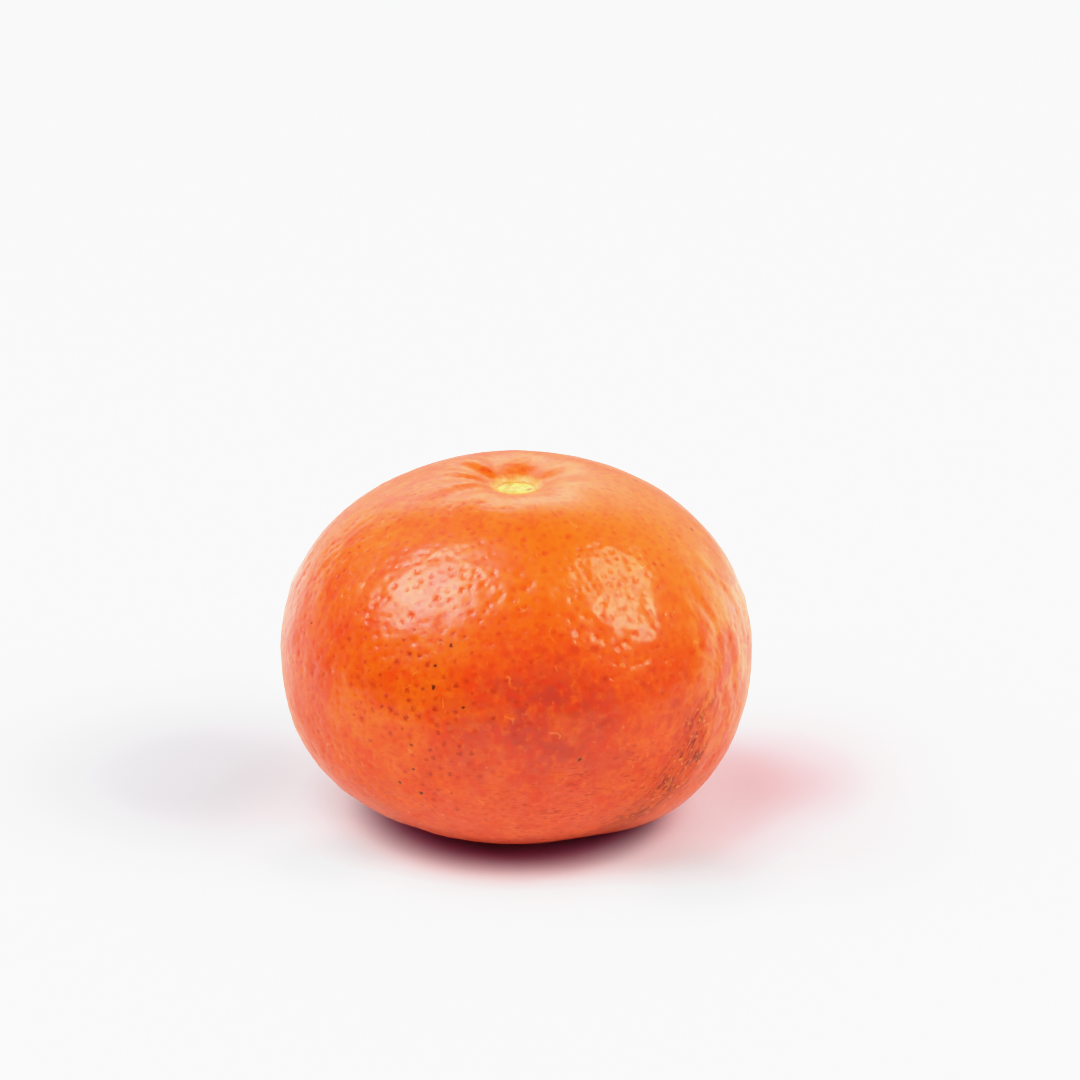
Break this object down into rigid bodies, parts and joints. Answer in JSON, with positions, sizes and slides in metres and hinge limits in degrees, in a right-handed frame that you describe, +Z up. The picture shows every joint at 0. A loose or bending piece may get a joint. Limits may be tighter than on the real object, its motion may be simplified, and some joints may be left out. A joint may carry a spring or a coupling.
{
  "type": "mandarin",
  "caption": "Whole mandarin in its rind, a squat round citrus fruit with a shallow stem basin and a small flat resting spot.",
  "frame": {"origin": "middle of the fruit's outline seen from above, on the surface that it rests on", "axes": "+Z up through the stem end; +X across the widest line, with the fuller lower cheek at +X; -Y is the side that the picture faces"},
  "size_m": [0.068, 0.067, 0.0515],
  "materials": {
    "rind": "satin"
  },
  "bodies": {
    "root": {"mandarin": "rind"}
  },
  "joints": []
}
